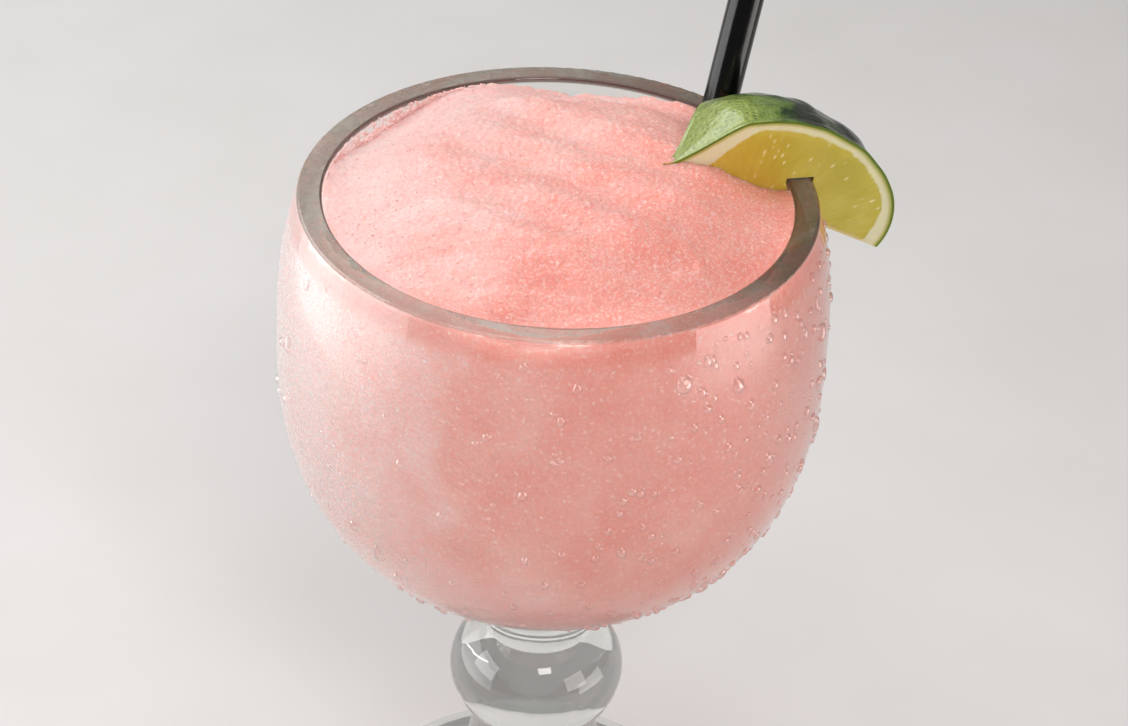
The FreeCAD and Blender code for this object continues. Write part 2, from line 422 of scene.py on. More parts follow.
def blendedIceSlush():
    # Blended ice, syrup and fruit: crushed crystals full of air, so light soaks in and comes back soft
    # and pink, with wet glints on it; painted light makes it paler to the left and back, painted shade deeper
    # to the right front.
    material, place = newMaterial("blendedIceSlush")
    tone = drinkTone(material, place)
    height = (addNode(material, "SeparateXYZ", links={"Vector": place}), "Z")
    fine = addNode(material, "TexNoise", {"Scale": 1 / (drink["grainSize"] * mm)}, {"Vector": place})
    grainStrength = addNode(material, "MapRange", {
        "From Min": rimHeight - 6 * mm,
        "From Max": rimHeight - 2 * mm,
        "To Min": 0.22,
        "To Max": 0.5,
    }, {"Value": height})
    paleGrain = addNode(material, "MapRange", {"From Min": 0.48, "From Max": 0.74}, {"Value": fine})
    grain = addNode(material, "Math", {"operation": "MULTIPLY"}, {0: paleGrain, 1: grainStrength})
    # pale ice specks about half a millimetre across; the warp keeps them from lining up
    warp = addNode(material, "TexNoise", {"Scale": 1 / (5 * mm)}, {"Vector": place})
    bent = addNode(material, "VectorMath", {"operation": "MULTIPLY_ADD", 1: (1.5 * mm,) * 3},
                   {0: (warp, "Color"), 2: place})
    specks = addNode(material, "TexVoronoi", {"Scale": 1 / (drink["speckPitch"] * mm)}, {"Vector": bent})
    speckSize = addNode(material, "MapRange", {"From Min": 0.36, "From Max": 0.10}, {"Value": specks})
    chosen = addNode(material, "SeparateColor", links={"Color": (specks, "Color")})
    rare = addNode(material, "MapRange", {"From Min": 0.45}, {"Value": (chosen, "Red")})
    speckMask = addNode(material, "Math", {"operation": "MULTIPLY"}, {0: speckSize, 1: rare})
    speck = addNode(material, "Math", {"operation": "MULTIPLY", 1: drink["speckStrength"]}, {0: speckMask})
    for colour, share in (("grain", grain), ("speck", speck)):
        tone = addNode(material, "MixRGB", {"Color2": linear(drink[colour])}, {"Fac": share, "Color1": tone})
    # grains of 0.5 and 1.1 mm stand out of the surface
    coarse = addNode(material, "TexVoronoi", {
        "Scale": 1 / (drink["speckPitch"] * mm),
        "feature": "SMOOTH_F1",
    }, {"Vector": place})
    fineBump = addNode(material, "Bump", {"Strength": 0.9, "Distance": 0.15 * mm}, {"Height": fine})
    coarseBump = addNode(material, "Bump", {"Strength": 0.8, "Distance": 0.2 * mm, "invert": True},
                         {"Height": coarse, "Normal": fineBump})
    wet = addNode(material, "MapRange", {"To Min": 0.36, "To Max": 0.58}, {"Value": fine})
    body = addNode(material, "BsdfPrincipled", {
        "IOR": drink["ior"],
        "Subsurface Weight": 0.85,
        "Subsurface Radius": (1.0, 0.42, 0.33),
        "Subsurface Scale": drink["softness"] * mm,
    }, {"Base Color": tone, "Roughness": wet, "Normal": coarseBump})
    addNode(material, "OutputMaterial", links={"Surface": body})
    return material


def frozenDrink():
    wall = innerWall()
    segments, rings, sideRows = (drink[name] for name in ("segments", "rings", "sideRows"))
    angles = [2 * math.pi * j / segments for j in range(segments)]
    edges = []
    for angle in angles:
        edgeX = (drink["innerRimRadius"] - 0.4) * math.cos(angle)
        edgeY = (drink["innerRimRadius"] - 0.4) * math.sin(angle)
        ragged = 1.1 * ripple(edgeX / 3.2, edgeY / 3.2, 6.0)
        ragged += 0.6 * ripple(edgeX / 1.2, edgeY / 1.2, 2.0)
        z = min(drinkHeight(edgeX, edgeY) + drink["raggedness"] * ragged, rimHeight / mm - 0.5)
        edges.append((np.interp(z, wall[:, 2], wall[:, 1]) + drink["wallOverlap"], z))
    points = [(0, 0, drinkHeight(0, 0))]
    for i in range(1, rings + 1):
        share = i / rings
        for angle, (edgeRadius, edgeZ) in zip(angles, edges):
            x = share * edgeRadius * math.cos(angle)
            y = share * edgeRadius * math.sin(angle)
            z = drinkHeight(x, y)
            blend = smoothStep((share - 0.97) / 0.03)  # the last rings run into the edge at the wall
            points.append((x, y, z * (1 - blend) + edgeZ * blend))
    # the side lies along the inner wall, down to the floor's middle
    slope = np.gradient(wall[:, 1:], axis=0)
    outward = np.stack([slope[:, 1], -slope[:, 0]], axis=1)
    outward /= np.linalg.norm(outward, axis=1)[:, None]
    for i in range(1, sideRows):
        for angle, (edgeRadius, edgeZ) in zip(angles, edges):
            top = np.interp(edgeZ, wall[:, 2], wall[:, 0])
            elevation = top + (wall[0, 0] - top) * i / sideRows
            radius = np.interp(elevation, wall[:, 0], wall[:, 1] + outward[:, 0] * drink["wallOverlap"])
            height = np.interp(elevation, wall[:, 0], wall[:, 2] + outward[:, 1] * drink["wallOverlap"])
            points.append((radius * math.cos(angle), radius * math.sin(angle), height))
    points.append((0, 0, wall[0, 2] - drink["wallOverlap"]))
    last = len(points) - 1
    lastRow = last - segments
    faces = [(0, 1 + j, 1 + (j + 1) % segments) for j in range(segments)]
    faces += [face[::-1] for face in gridFaces(rings + sideRows - 1, segments, 1, closed=True)]
    faces += [(last, lastRow + (j + 1) % segments, lastRow + j) for j in range(segments)]
    piece = meshPiece("frozenDrinkHeap", np.array(points) * mm, faces, blendedIceSlush())
    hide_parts("frozen_drink")
    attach(piece, "root")
    return piece


drinkPiece = frozenDrink()
print("frozen drink made,", len(drinkPiece.data.polygons), "faces")


ice = {
    "count": 7000,
    "smallest": 0.12,  # mm, half width
    "largest": 0.33,
    "sunk": 0.74,  # how deep a crystal sits in the drink, as a share of its size
    "spreadRadius": 45.0,  # mm
    "onWall": 700,
    "wallClumps": [122, 131, 139, 147, 158, 166],  # degrees round the glass
    "wallRadius": 46.1,
    "roughness": 0.12,
    "ior": 1.31,
    "seed": 11,
}


def clearIceCrystals():
    # Chips of ice out of a blender: wet and sharp, with facets that flash, in the drink's colour with its
    # painted light and shade
    material, place = newMaterial("clearIceCrystals")
    cloud = addNode(material, "TexNoise", {"Scale": 1 / (2.0 * mm)}, {"Vector": place})
    paler = addNode(material, "MapRange",
                    {"From Min": 0.35, "From Max": 0.65, "To Min": 0.1, "To Max": 0.55}, {"Value": cloud})
    tone = addNode(material, "MixRGB", {"Color2": linear(drink["grain"])}, {
        "Fac": paler,
        "Color1": drinkTone(material, place),
    })
    body = addNode(material, "BsdfPrincipled", {
        "Roughness": ice["roughness"],
        "IOR": ice["ior"],
        "Specular IOR Level": 0.8,
    }, {"Base Color": tone})
    addNode(material, "OutputMaterial", links={"Surface": body})
    return material


def iceCrystals():
    random.seed(ice["seed"])
    golden = (1 + math.sqrt(5)) / 2
    corners = [(0, a, b * golden) for a in (-1, 1) for b in (-1, 1)]
    corners += [(z, x, y) for x, y, z in corners] + [(y, z, x) for x, y, z in corners]
    corners = [Vector(c).normalized() for c in corners]
    longestEdge = 1.1  # each three corners nearer than this to each other are a face of the icosahedron
    triples = []
    for a in range(12):
        for b in range(a + 1, 12):
            for c in range(b + 1, 12):
                sides = [(corners[p] - corners[q]).length for p, q in ((a, b), (b, c), (c, a))]
                if max(sides) < longestEdge:
                    outside = (corners[b] - corners[a]).cross(corners[c] - corners[a]).dot(corners[a]) > 0
                    triples.append((a, b, c) if outside else (a, c, b))
    points, faces = [], []
    for index in range(ice["count"] + ice["onWall"]):
        size = ice["smallest"] + (ice["largest"] - ice["smallest"]) * random.random() ** 2.6
        if index < ice["count"]:
            radius = ice["spreadRadius"] * math.sqrt(random.random())
            angle = random.uniform(0, 2 * math.pi)
            x, y = radius * math.cos(angle), radius * math.sin(angle)
            centre = Vector((x, y, drinkHeight(x, y) - size * (ice["sunk"] - 0.5)))
        else:
            # some cling to the glass above the drink, in clumps at the back
            angle = math.radians(random.choice(ice["wallClumps"]) + random.gauss(0, 5.0))
            radius = ice["wallRadius"] - 0.2 * size
            x, y = radius * math.cos(angle), radius * math.sin(angle)
            foot = drinkHeight(x, y)
            reach = rimHeight / mm - 0.6 - foot
            centre = Vector((x, y, foot + reach * random.random() ** 1.5))
            size *= 1.5
        spin = random.uniform(0, 6.28)
        turn = Matrix.Rotation(spin, 3, Vector([random.gauss(0, 1) for _ in range(3)]))
        squash = (random.uniform(0.7, 1.5), random.uniform(0.6, 1.1), random.uniform(0.35, 0.8))
        first = len(points)
        for corner in corners:
            local = Vector([corner[k] * squash[k] * size * random.uniform(0.85, 1.15) for k in range(3)])
            points.append((centre + turn @ local) * mm)
        faces += [(first + a, first + b, first + c) for a, b, c in triples]
    piece = meshPiece("iceCrystals", points, faces, clearIceCrystals(), smooth=False)
    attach(piece, "root")
    return piece


icePiece = iceCrystals()
print("ice crystals scattered,", len(icePiece.data.polygons), "faces")


straw = {
    "colour": "#050405",
    "roughness": 0.14,
    "ior": 1.49,
    "drawLine": 0.5,  # mm between the die's faint lines along it, coarser than real, so that they show
}


def extrudedPolypropylene():
    # Polypropylene, extruded: deep black and glossy, with faint lines along it that break up the gloss
    material, place = newMaterial("extrudedPolypropylene")
    drawn = addNode(material, "Mapping", {"Scale": (1.0, 1.0, 0.02)}, {"Vector": place})
    lines = addNode(material, "TexNoise", {"Scale": 1 / (straw["drawLine"] * mm), "Detail": 1.0},
                    {"Vector": drawn})
    gloss = addNode(material, "MapRange", {
        "To Min": straw["roughness"] - 0.05,
        "To Max": straw["roughness"] + 0.08,
    }, {"Value": lines})
    bump = addNode(material, "Bump", {"Strength": 0.25, "Distance": 0.02 * mm}, {"Height": lines})
    body = addNode(material, "BsdfPrincipled", {
        "Base Color": linear(straw["colour"]),
        "IOR": straw["ior"],
        "Specular IOR Level": 0.35,
    }, {"Roughness": gloss, "Normal": bump})
    addNode(material, "OutputMaterial", links={"Surface": body})
    return material


strawNode.data.materials.clear()
strawNode.data.materials.append(extrudedPolypropylene())
print("straw finished")


lime = {
    "length": 56.8,  # mm
    "radius": 22.6,
    "widest": 0.46,  # share of the length
    "ovalPower": 1.9,
    "point": 9.6,
    "tipBlunt": 1.2,
    "wedgeAngle": 68.0,  # degrees
    "direction": 21.3,
    "droop": 29.7,
    "faceLean": 16.3,
    "slitAngle": 12.8,  # where on the rim it sits
    "slitAlong": 28.1,  # mm from the pointed end
    "slitDepth": 8.9,
    "rimMiddle": 48.65,
    "slitGap": 0.25,
    "rowsAlong": 150,
    "rowsDeep": 60,
    "rowsAround": 70,
    "fleshSwell": 0.35,
    "sacHeight": 0.14,
    "dentDepth": 0.85,
    "sacsMeet": 16.0,  # mm below the core, where the sacs' fan would meet
    "sacSpread": 26.0,  # how many sacs lie side by side in a radian of the fan
    "depthUnit": 30.0,  # mm of depth below the peel that one unit of the map stands for
    "peel": [(0.40, "#0F2005"), (0.48, "#213A0C"), (0.57, "#4A6720"), (0.80, "#93A454")],
    "pore": "#0F2006",
    "porePitch": 0.95,  # mm
    "tip": "#5A3413",
    "zest": "#56721C",
    "underZest": "#B3B55A",
    "pith": "#E4E3BC",
    "pithLeast": 1.7,  # mm
    "pithMost": 3.0,
    "flesh": [(0.25, "#BEB13E"), (0.5, "#C9BE4C"), (0.75, "#D6CD66")],
    "warmFlesh": "#DDB63E",  # towards the pointed end
    # painted highlight: short bright streaks on the sacs' wet walls
    "glint": "#F4F0B4",
    "membrane": "#E3D999",
}


def limeRadius(u):
    widest = lime["widest"] * lime["length"]
    span = widest if u < widest else lime["length"] - widest
    share = min(1.0, abs(u - widest) / span)
    oval = lime["radius"] * (1 - share ** lime["ovalPower"]) ** (1 / lime["ovalPower"])
    return oval * smoothStep((u + lime["tipBlunt"]) / (lime["point"] + lime["tipBlunt"]))


def limePlace():
    # the wedge's own frame: x along its core from the pointed end, z up the shown face, y behind that face
    turn = Matrix.Rotation(math.radians(lime["direction"]), 3, "Z")
    turn = turn @ Matrix.Rotation(math.radians(lime["droop"]), 3, "Y")
    turn = turn @ Matrix.Rotation(math.radians(lime["faceLean"]), 3, "X")
    angle = math.radians(lime["slitAngle"])
    outwards = Vector((math.cos(angle), math.sin(angle), 0))
    seat = lime["rimMiddle"] * outwards + Vector((0, 0, rimHeight / mm))
    seat -= turn @ Vector((lime["slitAlong"], 0, lime["slitDepth"]))
    return Matrix.Translation(seat) @ turn.to_4x4()


def waxedLimePeel():
    # Lime peel, waxed: leathery green pitted by oil glands, paler towards the nipple, with a soft sheen
    material, place = newMaterial("waxedLimePeel")
    along = addNode(material, "UVMap", {"uv_map": "alongAndDeep"})
    split = addNode(material, "SeparateXYZ", links={"Vector": along})
    patches = addNode(material, "TexNoise", {"Scale": 1 / (8 * mm), "Detail": 5.0, "Roughness": 0.68},
                      {"Vector": place})
    glands = addNode(material, "TexVoronoi", {"Scale": 1 / (lime["porePitch"] * mm)}, {"Vector": place})
    paler = addNode(material, "MapRange",
                    {"From Min": 0.42, "From Max": 0.10, "To Min": -0.12, "To Max": 0.38},
                    {"Value": (split, "X")})
    shade = addNode(material, "Math", {"operation": "ADD"}, {0: patches, 1: paler})
    tone = addNode(material, "ValToRGB", {"stops": lime["peel"]}, {"Fac": shade})
    pores = addNode(material, "MapRange",
                    {"From Min": 0.08, "From Max": 0.36, "To Min": 1.0, "To Max": 0.0}, {"Value": glands})
    poreRare = addNode(material, "SeparateColor", links={"Color": (glands, "Color")})
    poreMask = addNode(material, "Math", {"operation": "MULTIPLY"}, {0: pores, 1: (poreRare, "Green")})
    tip = addNode(material, "MapRange", {"From Min": 0.035, "From Max": 0.008}, {"Value": (split, "X")})
    for colour, share in (("pore", poreMask), ("tip", tip)):
        tone = addNode(material, "MixRGB", {"Color2": linear(lime[colour])}, {"Fac": share, "Color1": tone})
    leather = addNode(material, "TexNoise", {"Scale": 1 / (0.7 * mm)}, {"Vector": place})
    wrinkles = addNode(material, "TexNoise", {"Scale": 1 / (2.6 * mm)}, {"Vector": place})
    wrinkleBump = addNode(material, "Bump", {"Strength": 0.8, "Distance": 0.55 * mm},
                          {"Height": wrinkles})
    leatherBump = addNode(material, "Bump", {"Strength": 0.5, "Distance": 0.12 * mm},
                          {"Height": leather, "Normal": wrinkleBump})
    pits = addNode(material, "Bump", {"Strength": 0.9, "Distance": 0.3 * mm},
                   {"Height": glands, "Normal": leatherBump})
    body = addNode(material, "BsdfPrincipled", {
        "Roughness": 0.32,
        "IOR": 1.45,
        "Coat Weight": 0.8,
        "Coat Roughness": 0.16,
        "Subsurface Weight": 0.12,
        "Subsurface Radius": (0.6, 1.0, 0.2),
        "Subsurface Scale": 1.5 * mm,
    }, {"Base Color": tone, "Normal": pits})
    addNode(material, "OutputMaterial", links={"Surface": body})
    return material


def cutLimeFlesh():
    # A freshly cut lime: a thin green zest line, spongy pale pith, then wet juice sacs that lie along
    # the cut like fibres; the flesh is translucent, so it glows a little and its wet skin flashes, helped by
    # painted highlights
    material, place = newMaterial("cutLimeFlesh")
    along = addNode(material, "UVMap", {"uv_map": "alongAndDeep"})
    split = addNode(material, "SeparateXYZ", links={"Vector": along})
    sacMap = addNode(material, "UVMap", {"uv_map": "sacs"})
    depth = addNode(material, "Math", {"operation": "MULTIPLY", 1: lime["depthUnit"]},
                    {0: (split, "Y")})  # mm below the peel
    # the pith is about 2 mm thick along the arc and much thicker at both ends
    innerEnd = addNode(material, "MapRange", {
        "From Max": 0.24,
        "To Min": 8.5,
        "To Max": 0.0,
        "interpolation_type": "SMOOTHSTEP",
    }, {"Value": (split, "X")})
    outerEnd = addNode(material, "MapRange", {
        "From Min": 0.86,
        "To Max": 5.5,
        "interpolation_type": "SMOOTHSTEP",
    }, {"Value": (split, "X")})
    ends = addNode(material, "Math", {"operation": "ADD"}, {0: innerEnd, 1: outerEnd})
    ragged = addNode(material, "TexNoise", {"Scale": 1 / (2.2 * mm)}, {"Vector": place})
    edge = addNode(material, "MapRange", {"To Min": lime["pithLeast"], "To Max": lime["pithMost"]},
                   {"Value": ragged})
    thickness = addNode(material, "Math", {"operation": "ADD"}, {0: ends, 1: edge})
    past = addNode(material, "Math", {"operation": "SUBTRACT"}, {0: depth, 1: thickness})
    fleshMask = addNode(material, "MapRange", {"From Min": -0.2, "From Max": 0.3}, {"Value": past})
    # juice sacs: long and thin, a bit over a millimetre wide
    sacs = addNode(material, "TexNoise", {"Scale": 1.0, "Detail": 3.0, "Roughness": 0.6},
                   {"Vector": sacMap})
    blotch = addNode(material, "TexNoise", {"Scale": 1 / (8 * mm), "Detail": 1.0}, {"Vector": place})
    mixed = addNode(material, "MixRGB", {"Fac": 0.62}, {"Color1": sacs, "Color2": blotch})
    flesh = addNode(material, "ValToRGB", {"stops": lime["flesh"]}, {"Fac": mixed})
    warmSide = addNode(material, "MapRange", {"From Min": 0.62, "From Max": 0.15, "To Max": 0.38},
                       {"Value": (split, "X")})
    # painted highlights: here and there a sac's wet wall is painted as a short bright streak
    streakPlace = addNode(material, "VectorMath", {"operation": "MULTIPLY", 1: (0.9, 2.6, 1.0)},
                          {0: sacMap})
    streaks = addNode(material, "TexVoronoi", {"Scale": 1.0}, {"Vector": streakPlace})
    streakPick = addNode(material, "SeparateColor", links={"Color": (streaks, "Color")})
    streakRare = addNode(material, "MapRange", {"From Min": 0.45, "From Max": 0.9},
                         {"Value": (streakPick, "Red")})
    streakSize = addNode(material, "MapRange", {"From Min": 0.30, "From Max": 0.10}, {"Value": streaks})
    streakMask = addNode(material, "Math", {"operation": "MULTIPLY"}, {0: streakRare, 1: streakSize})
    core = addNode(material, "UVMap", {"uv_map": "fromCore"})
    coreSplit = addNode(material, "SeparateXYZ", links={"Vector": core})
    coreLine = addNode(material, "MapRange",
                       {"From Min": 0.02, "From Max": 0.05, "To Min": 0.8, "To Max": 0.0},
                       {"Value": (coreSplit, "Y")})
    for colour, share in (("warmFlesh", warmSide), ("glint", streakMask), ("membrane", coreLine)):
        flesh = addNode(material, "MixRGB", {"Color2": linear(lime[colour])}, {"Fac": share, "Color1": flesh})
    # the rind, from the outside in
    zestLine = addNode(material, "MapRange", {"From Min": 0.45, "From Max": 0.8}, {"Value": depth})
    pale = addNode(material, "MapRange", {"From Min": 0.8, "From Max": 1.5}, {"Value": depth})
    rind = addNode(material, "MixRGB", {
        "Color1": linear(lime["zest"]),
        "Color2": linear(lime["underZest"]),
    }, {"Fac": zestLine})
    pith = addNode(material, "MixRGB", {"Color2": linear(lime["pith"])}, {"Fac": pale, "Color1": rind})
    tone = addNode(material, "MixRGB", links={"Fac": fleshMask, "Color1": pith, "Color2": flesh})
    rough = addNode(material, "MapRange", {"To Min": 0.55, "To Max": 0.16}, {"Value": fleshMask})
    sponge = addNode(material, "TexNoise", {"Scale": 1 / (0.5 * mm)}, {"Vector": place})
    spongeBump = addNode(material, "Bump", {"Strength": 0.35, "Distance": 0.08 * mm}, {"Height": sponge})
    sacBump = addNode(material, "Bump", {"Strength": 0.8, "Distance": 0.35 * mm},
                      {"Height": sacs, "Normal": spongeBump})
    body = addNode(material, "BsdfPrincipled", {
        "IOR": 1.38,
        "Subsurface Weight": 0.55,
        "Subsurface Radius": (1.0, 0.8, 0.25),
        "Subsurface Scale": 3.0 * mm,
    }, {"Base Color": tone, "Roughness": rough, "Normal": sacBump})
    addNode(material, "OutputMaterial", links={"Surface": body})
    return material


def rimCutter():
    # the rim's wall grown by the slit's gap, a ring that the slit is cut with
    gap = lime["slitGap"]
    segments = 360
    lowest = 140.0  # mm, well below the slit
    edgeRound = 0.9  # the rim's top is rounded above this
    heights = np.linspace(lowest, rimHeight / mm - edgeRound, 16)
    outer, inner = [], []
    for height in heights:
        outside = Vector((0.09, 0.00001, height * mm))
        middle = Vector((0, 0.00001, height * mm))
        outer.append(glassTree.ray_cast(outside, Vector((-1, 0, 0)))[0].x / mm + gap)
        inner.append(glassTree.ray_cast(middle, Vector((1, 0, 0)))[0].x / mm - gap)
    top = rimHeight / mm + gap
    outline = [(r, z) for r, z in zip(outer, heights)] + [(outer[-1], top), (inner[-1], top)]
    outline += [(r, z) for r, z in zip(inner[::-1], heights[::-1])]
    points = []
    for radius, height in outline:
        for j in range(segments):
            angle = 2 * math.pi * j / segments
            points.append((radius * math.cos(angle), radius * math.sin(angle), height))
    faces = gridFaces(len(outline), segments, closed=True)
    last = (len(outline) - 1) * segments
    faces += [(last + j, last + (j + 1) % segments, (j + 1) % segments, j) for j in range(segments)]
    return np.array(points) * mm, faces


def sacFan(u, v):
    # the direction and distance of a point of the cut from where the sacs' fan would meet
    along, away = u - lime["length"] * 0.5, v + lime["sacsMeet"]
    return math.atan2(along, away), math.hypot(along, away)


def limeWedge():
    rowsAlong, rowsDeep, rowsAround = (lime[name] for name in ("rowsAlong", "rowsDeep", "rowsAround"))
    wedge = math.radians(lime["wedgeAngle"])
    outline = []
    for i in range(rowsAlong):
        u = lime["length"] * (0.5 - 0.5 * math.cos(math.pi * i / (rowsAlong - 1)))
        dent = 0.014 * (1 + ripple(u / 5.0, 1.7, 4.4))
        outline.append((u, limeRadius(u) * (1 - dent)))
    outline = np.array(outline)
    points, alongAndDeep, sacs, fromCore = [], [], [], []

    def depthBelowPeel(u, v):
        return np.min(np.hypot(outline[:, 0] - u, outline[:, 1] - v))

    def addPoint(u, v, angle, lift):
        # lift moves the point out of the cut face
        behind, up = v * math.sin(angle), v * math.cos(angle)
        side = -1 if angle == 0 else 1
        points.append((u, behind + side * lift * math.cos(angle), up - side * lift * math.sin(angle)))
        fan, reach = sacFan(u, v)
        alongAndDeep.append((u / lime["length"], depthBelowPeel(u, v) / lime["depthUnit"]))
        sacs.append((fan * lime["sacSpread"], reach / 7.0 + 3.0 * angle))
        fromCore.append((u / lime["length"], v / lime["radius"]))

    faces, slots = [], []
    for angle in (0, wedge):
        first = len(points)
        for u, edge in outline:
            for j in range(rowsDeep):
                v = edge * j / (rowsDeep - 1)
                swell = smoothStep((depthBelowPeel(u, v) - 1.6) / 2.2) * smoothStep(v / 1.5)
                fan, reach = sacFan(u, v)
                sac = ripple(fan * lime["sacSpread"], reach / 6.0, 3.0 + angle)
                lift = swell * (lime["fleshSwell"] + lime["sacHeight"] * sac) if 0 < j < rowsDeep - 1 else 0
                addPoint(u, v, angle, lift)
        quads = gridFaces(rowsAlong, rowsDeep, first)
        faces += [quad[::-1] for quad in quads] if angle == 0 else quads
        slots += [1] * len(quads)
    first = len(points)
    for u, edge in outline:
        for j in range(rowsAround):
            angle = wedge * j / (rowsAround - 1)
            away = smoothStep(min(j, rowsAround - 1 - j) / 6.0)
            around = angle * lime["radius"]
            dent = 0.5 + 0.5 * ripple(u / 8.0, around / 8.0, 8.8)
            dent += 0.45 * (0.5 + 0.5 * ripple(u / 2.6, around / 3.2, 1.3))
            addPoint(u, edge - away * min(lime["dentDepth"] * dent, 0.4 * edge), angle + 1e-9, 0)
    quads = gridFaces(rowsAlong, rowsAround, first)
    faces += quads
    slots += [0] * len(quads)

    piece = meshPiece("limeWedge", np.array(points), faces, waxedLimePeel())
    piece.data.materials.append(cutLimeFlesh())
    piece.data.polygons.foreach_set("material_index", slots)
    for name, values in (("alongAndDeep", alongAndDeep), ("sacs", sacs), ("fromCore", fromCore)):
        layer = piece.data.uv_layers.new(name=name)
        for loop in piece.data.loops:
            layer.data[loop.index].uv = values[loop.vertex_index]
    piece.data.transform(Matrix.Scale(mm, 4) @ limePlace())
    # the three sheets are joined into one skin, and the slit is cut out of it
    weld = piece.modifiers.new("weld", "WELD")
    weld.merge_threshold = 0.002 * mm
    cutter = meshPiece("rimCutter", *rimCutter(), piece.data.materials[1], smooth=False)
    slit = piece.modifiers.new("slit", "BOOLEAN")
    slit.operation = "DIFFERENCE"
    slit.object = cutter
    slit.solver = "EXACT"
    edges = piece.modifiers.new("edges", "EDGE_SPLIT")
    edges.split_angle = math.radians(38)
    cut = bpy.data.meshes.new_from_object(piece.evaluated_get(bpy.context.evaluated_depsgraph_get()))
    piece.modifiers.clear()
    piece.data = cut
    bpy.data.objects.remove(cutter)
    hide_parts("lime_wedge")
    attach(piece, "root")
    return piece


limePiece = limeWedge()
print("lime wedge made,", len(limePiece.data.polygons), "faces")


dew = {
    # drops that stand out: degrees round the glass, height and half width in mm, how long the tail is
    "bigDrops": [
        (-62.5, 160.0, 1.6, 1.35), (-49.5, 156.0, 1.45, 1.3), (-57.0, 163.5, 1.0, 1.2),
        (-17.0, 152.0, 1.5, 1.25), (-24.0, 137.0, 1.1, 1.4), (-14.0, 127.5, 1.3, 1.5),
        (-20.0, 160.0, 0.8, 1.9), (-158.0, 146.0, 1.3, 1.6), (-152.0, 163.0, 0.8, 1.6),
        (-128.0, 111.0, 1.4, 1.7), (-134.0, 116.0, 0.9, 1.6), (-118.0, 94.0, 1.2, 1.2),
        (-112.0, 91.0, 1.0, 1.1), (-40.0, 96.0, 1.4, 1.2), (-46.0, 100.0, 0.9, 1.2),
        (-34.0, 165.0, 0.9, 1.2), (-68.0, 127.0, 0.9, 1.3), (-75.0, 134.0, 0.7, 1.2),
    ],
    "tall": 0.62,  # how high they stand, as a share of the half width
    "smallDrops": 1050,
    "mist": 4200,
    "lowest": 88.0,  # mm
    "highest": 167.0,
    "sunk": 0.08,  # mm that a drop's foot is inside the glass
    "roughness": 0.02,
    "ior": 1.333,
    # painted shade: each drop darkens towards its edge
    "edgePaintedShade": [(0.25, "#FFFFFF"), (0.8, "#A98C86")],
    "shadowTint": "#FAFAFA",
    "seed": 5,
}


def condensedWater():
    # Water condensed out of the air: clear beads that pinch the light into one bright point each, with
    # painted shade at their edges
    material, place = newMaterial("condensedWater")
    uneven = addNode(material, "TexNoise", {"Scale": 1 / (1.5 * mm), "Detail": 1.0}, {"Vector": place})
    bump = addNode(material, "Bump", {"Strength": 0.15, "Distance": 0.05 * mm}, {"Height": uneven})
    # painted shade: darker where the drop's surface turns away from the view, standing in for the dark edge
    # of a drop
    steep = addNode(material, "LayerWeight", {"Blend": 0.45})
    tone = addNode(material, "ValToRGB", {"stops": dew["edgePaintedShade"]}, {"Fac": (steep, "Facing")})
    body = addNode(material, "BsdfPrincipled", {
        "Roughness": dew["roughness"],
        "IOR": dew["ior"],
        "Transmission Weight": 1.0,
        "Coat Weight": 1.0,
        "Coat IOR": 1.75,
        "Coat Roughness": 0.1,
    }, {"Base Color": tone, "Normal": bump})
    clearToLamps(material, body, dew["shadowTint"])
    return material


def outerWall(angle, height):
    # the point and outward direction on the outside of the glass
    way = Vector((math.cos(angle), math.sin(angle), 0))
    hit, normal = glassTree.ray_cast(way * 0.1 + Vector((0, 0, height * mm)), -way)[:2]
    return hit, normal


def beads(name, drops, rows, columns, material):
    # each drop is a low dome on the wall, fuller below than above, with its foot just inside the glass
    points, faces = [], []
    for angle, height, size, tail, tall in drops:
        place, out = outerWall(angle, height)
        side = Vector((-math.sin(angle), math.cos(angle), 0))
        down = side.cross(out)
        if down.z > 0:
            down = -down
        first = len(points)
        phase = random.uniform(0, 6.28)
        for i in range(rows + 1):
            share = i / rows
            rise = tall * size * math.sqrt(max(0.0, 1 - share**2.2))
            for j in range(columns):
                turn = 2 * math.pi * j / columns
                across = math.cos(turn) * share * size
                along = math.sin(turn) * share * size
                wobble = 1 + 0.10 * math.sin(2 * turn + phase) + 0.06 * math.sin(3 * turn + 2 * phase)
                if along < 0:
                    along *= 2 * tail - 1  # the tail points up
                    across *= 1 - 0.35 * (tail - 1) * share
                lift = rise - dew["sunk"] / 2 if i < rows else -dew["sunk"]
                points.append(place + (side * across * wobble + down * along * wobble + out * lift) * mm)
        faces += gridFaces(rows + 1, columns, first, closed=True)
    piece = meshPiece(name, points, faces, material)
    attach(piece, "root")
    return piece


def condensation():
    random.seed(dew["seed"])
    water = condensedWater()
    big = [(math.radians(angle), *rest, dew["tall"]) for angle, *rest in dew["bigDrops"]]
    small, mist = [], []
    while len(small) < dew["smallDrops"]:
        # densest on the right front, where the wall has sweated longest
        angle = random.gauss(-38, 30) if random.random() < 0.66 else random.uniform(-180, 180)
        height = random.uniform(dew["lowest"], dew["highest"])
        size = 0.2 + 0.85 * random.random() ** 2.4
        tail, tall = random.uniform(1.0, 1.3), random.uniform(0.5, 0.75)
        small.append((math.radians(angle), height, size, tail, tall))
    while len(mist) < dew["mist"]:
        # finest on the left, thickest low down
        angle = random.uniform(-180, 180) if random.random() < 0.55 else random.gauss(-150, 24)
        height = 86 + 80 * random.random() ** 1.4
        size = 0.08 + 0.16 * random.random() ** 2
        mist.append((math.radians(angle), height, size, random.uniform(1.0, 1.6), 0.5))
    return [
        beads("largeDrops", big, 9, 28, water),
        beads("smallDrops", small, 4, 12, water),
        beads("mistDrops", mist, 2, 7, water),
    ]


dewPieces = condensation()
print("condensation made,", [len(p.data.polygons) for p in dewPieces], "faces")


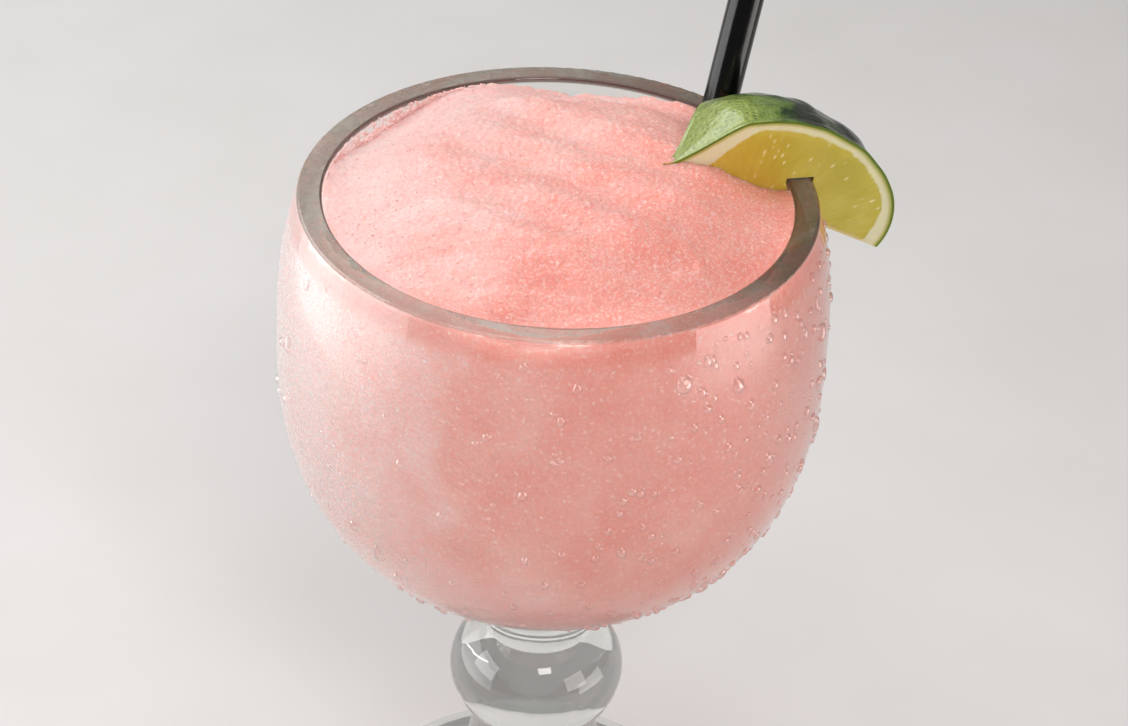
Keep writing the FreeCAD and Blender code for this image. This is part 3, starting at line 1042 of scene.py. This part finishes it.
studio = {
    "board": [(0.3, "#DEDCDA"), (0.7, "#E3E1E0")],
    "boardMottle": 60.0,  # mm
    "boardHalf": 4.0,  # m
    "worldColour": "#CBC8C6",
    "worldStrength": 0.35,
    # name: place and aim in mm, width and height in mm, watts, spread in degrees, colour
    "lights": {
        "key": ((-520, 420, 760), (0, 0, 150), 620, 520, 3.8, 180, "#FBFDFF"),
        "overhead": ((-60, -60, 900), (0, 0, 170), 700, 600, 2.5, 180, "#FFFFFF"),
        "fill": ((200, -720, 860), (0, 0, 150), 300, 240, 2.9, 180, "#FFF9F5"),
        "leftSide": ((-950, -260, 420), (0, 0, 130), 620, 460, 3.5, 180, "#FFFFFF"),
        "rightSide": ((860, -620, 360), (0, 0, 130), 520, 420, 2.6, 180, "#FFF6F1"),
        "leftCard": ((-330, 0, 95), (0, 0, 110), 460, 230, 0.36, 100, "#FFFFFF"),
        "rightCard": ((430, -125, 45), (0, 0, 110), 300, 190, 0.2, 90, "#FFFCFA"),
    },
}


def paintedBoard():
    # A board painted matt, pale and even, with the faint mottle of a roller
    material, place = newMaterial("paintedBoard")
    mottle = addNode(material, "TexNoise", {"Scale": 1 / (studio["boardMottle"] * mm), "Detail": 3.0},
                     {"Vector": place})
    tone = addNode(material, "ValToRGB", {"stops": studio["board"]}, {"Fac": mottle})
    body = addNode(material, "BsdfPrincipled", {"Roughness": 0.75, "Specular IOR Level": 0.1},
                   {"Base Color": tone})
    addNode(material, "OutputMaterial", links={"Surface": body})
    return material


half = studio["boardHalf"]
corners = [(-half, -half, 0), (half, -half, 0), (half, half, 0), (-half, half, 0)]
floor = meshPiece("floor", corners, [(0, 1, 2, 3)], paintedBoard(), smooth=False)

world = bpy.data.worlds.new("studio")
world.use_nodes = True
world.node_tree.nodes["Background"].inputs["Color"].default_value = linear(studio["worldColour"])
world.node_tree.nodes["Background"].inputs["Strength"].default_value = studio["worldStrength"]
scene.world = world

for name, (lampPlace, aim, width, height, watts, spread, colour) in studio["lights"].items():
    lamp = bpy.data.lights.new(name, "AREA")
    lamp.shape = "RECTANGLE"
    lamp.size = width * mm
    lamp.size_y = height * mm
    lamp.energy = watts
    lamp.spread = math.radians(spread)
    lamp.color = linear(colour)[:3]
    holder = bpy.data.objects.new(name, lamp)
    holder.location = Vector(lampPlace) * mm
    holder.rotation_euler = (Vector(aim) - Vector(lampPlace)).to_track_quat("-Z", "Y").to_euler()
    holder.visible_camera = False
    holder.visible_diffuse = not name.endswith("Card")  # cards are only there to be mirrored in the glass
    scene.collection.objects.link(holder)

scene.view_settings.view_transform = "Standard"
scene.cycles.caustics_refractive = False
scene.cycles.caustics_reflective = False
scene.cycles.glossy_bounces = 20  # light runs far inside a thick rim
scene.cycles.transmission_bounces = 24
scene.cycles.max_bounces = 32
print("studio lit")
